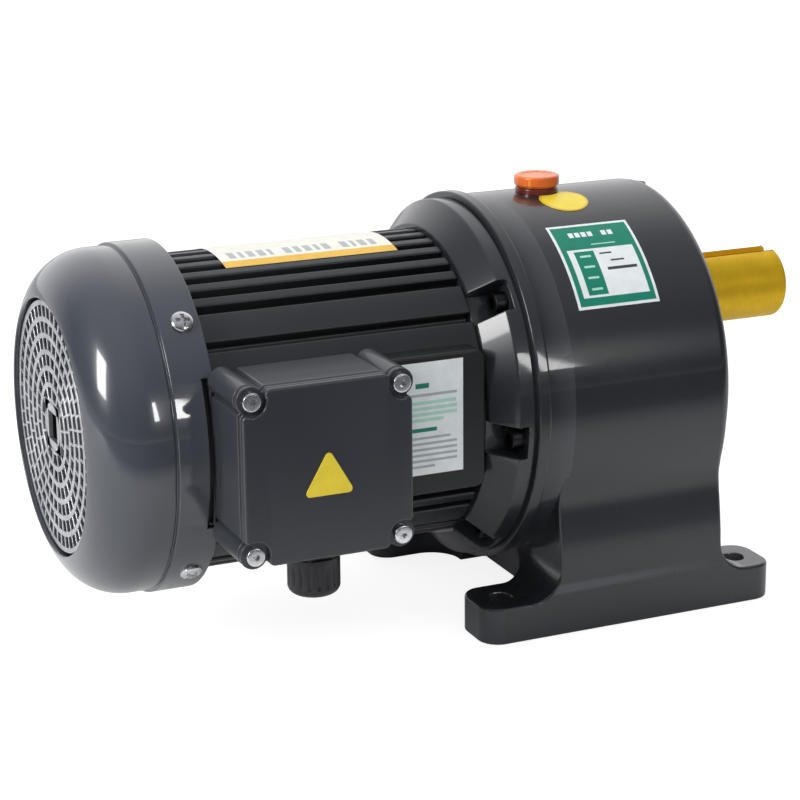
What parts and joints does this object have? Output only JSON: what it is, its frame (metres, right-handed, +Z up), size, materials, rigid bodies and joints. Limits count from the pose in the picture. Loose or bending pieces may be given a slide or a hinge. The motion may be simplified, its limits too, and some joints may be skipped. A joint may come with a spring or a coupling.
{
  "type": "inline gear reducer",
  "caption": "Foot-mounted inline gear reducer with a finned electric motor, a fan cowl, a side terminal box and a keyed output shaft above the motor axis.",
  "frame": {"origin": "centre of the pattern of foot holes, on the foot's underside", "axes": "+X along the output shaft towards its free end, +Z up, -Y towards the terminal box"},
  "size_m": [0.2985, 0.1612, 0.1602],
  "materials": {
    "slate_paint": "semi-gloss charcoal enamel over cast metal",
    "cowl_paint": "glossy charcoal-grey enamel on pressed steel",
    "black_paint": "satin black enamel on extruded aluminium",
    "grille_paint": "light grey enamel on perforated sheet",
    "screw_steel": "bright zinc plated steel",
    "black_screw": "black oxide steel",
    "bearing_steel": "ground bearing steel",
    "gear_steel": "hobbed and hardened gear steel",
    "shaft_steel": "turned and ground steel",
    "yellow_film": "satin amber rust-preventive film on steel",
    "lamination": "stacked electrical steel sheet",
    "winding": "varnished copper wire",
    "rotor_cage": "laminated core with a cast aluminium cage",
    "brass": "turned brass",
    "rubber": "black nitrile rubber",
    "gland_nylon": "black moulded nylon",
    "gasket_fibre": "compressed fibre gasket",
    "fan_plastic": "dark moulded nylon",
    "board_resin": "brown moulded resin",
    "lead_sleeve": "silicone-sleeved leads",
    "orange_plastic": "orange moulded plastic",
    "red_rubber": "dark red rubber",
    "green_label": "printed film in green and white",
    "white_label": "printed film in white and pale green",
    "cream_label": "printed film in white with an amber band",
    "yellow_label": "plain yellow film"
  },
  "bodies": {
    "housing": {"gearcase": "slate_paint", "flange_cover": "slate_paint", "flange_gasket": "gasket_fibre", "flange_screws": "black_screw", "oil_plug": "orange_plastic", "oil_plug_washer": "red_rubber", "gearbox_label": "green_label", "oil_label": "yellow_label", "motor_frame": "black_paint", "rear_endshield": "black_paint", "tie_bolts": "screw_steel", "stator_core": "lamination", "stator_windings": "winding", "fan_cowl": "cowl_paint", "cowl_grille": "grille_paint", "cowl_screws": "screw_steel", "top_label": "cream_label", "motor_label": "white_label", "terminal_box": "slate_paint", "terminal_box_gasket": "rubber", "box_screws": "screw_steel", "terminal_cover": "slate_paint", "cover_gasket": "rubber", "cover_screws": "screw_steel", "cover_patch": "yellow_label", "terminal_block": "board_resin", "terminal_studs": "brass", "terminal_nuts": "brass", "terminal_links": "brass", "earth_screw": "brass", "lead_grommet": "rubber", "motor_leads": "lead_sleeve", "gland_body": "gland_nylon", "gland_locknut": "gland_nylon", "gland_seal": "rubber", "gland_cap": "gland_nylon", "wave_washer": "shaft_steel", "input_seal": "rubber", "output_seal": "rubber", "motor_bearing_outers": "bearing_steel", "counter_bearing_outers": "bearing_steel", "output_bearing_outers": "bearing_steel"},
    "rotor": {"motor_shaft": "shaft_steel", "rotor_core": "rotor_cage", "cooling_fan": "fan_plastic", "fan_circlip": "shaft_steel", "motor_bearing_inners": "bearing_steel"},
    "motor_balls": {"motor_ball_sets": "bearing_steel"},
    "countershaft_set": {"countershaft": "gear_steel", "first_stage_gear": "gear_steel", "counter_bearing_inners": "bearing_steel"},
    "counter_balls": {"counter_ball_sets": "bearing_steel"},
    "output_set": {"output_shaft": "yellow_film", "output_gear": "gear_steel", "gear_key": "shaft_steel", "output_circlip": "shaft_steel", "output_bearing_inners": "bearing_steel"},
    "output_balls": {"output_ball_set": "bearing_steel"},
    "tail_balls": {"tail_ball_set": "bearing_steel"}
  },
  "joints": [
    {"name": "rotor_spin", "type": "hinge", "parent": "housing", "child": "rotor", "pos_m": [0, 0, 0.0855], "axis": [1, 0, 0], "continuous": true},
    {"name": "motor_ball_spin", "type": "hinge", "parent": "housing", "child": "motor_balls", "pos_m": [0, 0, 0.0855], "axis": [1, 0, 0], "continuous": true},
    {"name": "countershaft_spin", "type": "hinge", "parent": "housing", "child": "countershaft_set", "pos_m": [0, 0.02241, 0.06555], "axis": [1, 0, 0], "continuous": true},
    {"name": "counter_ball_spin", "type": "hinge", "parent": "housing", "child": "counter_balls", "pos_m": [0, 0.02241, 0.06555], "axis": [1, 0, 0], "continuous": true},
    {"name": "output_spin", "type": "hinge", "parent": "housing", "child": "output_set", "pos_m": [0, 0, 0.108], "axis": [1, 0, 0], "continuous": true},
    {"name": "output_ball_spin", "type": "hinge", "parent": "housing", "child": "output_balls", "pos_m": [0, 0, 0.108], "axis": [1, 0, 0], "continuous": true},
    {"name": "tail_ball_spin", "type": "hinge", "parent": "housing", "child": "tail_balls", "pos_m": [0, 0, 0.108], "axis": [1, 0, 0], "continuous": true}
  ],
  "couplings": [
    {"joint": "motor_ball_spin", "follows": "rotor_spin", "ratio": 0.37895},
    {"joint": "countershaft_spin", "follows": "rotor_spin", "ratio": -0.22449},
    {"joint": "counter_ball_spin", "follows": "rotor_spin", "ratio": -0.081633},
    {"joint": "output_spin", "follows": "rotor_spin", "ratio": 0.10963},
    {"joint": "output_ball_spin", "follows": "rotor_spin", "ratio": 0.045144},
    {"joint": "tail_ball_spin", "follows": "rotor_spin", "ratio": 0.041661}
  ]
}
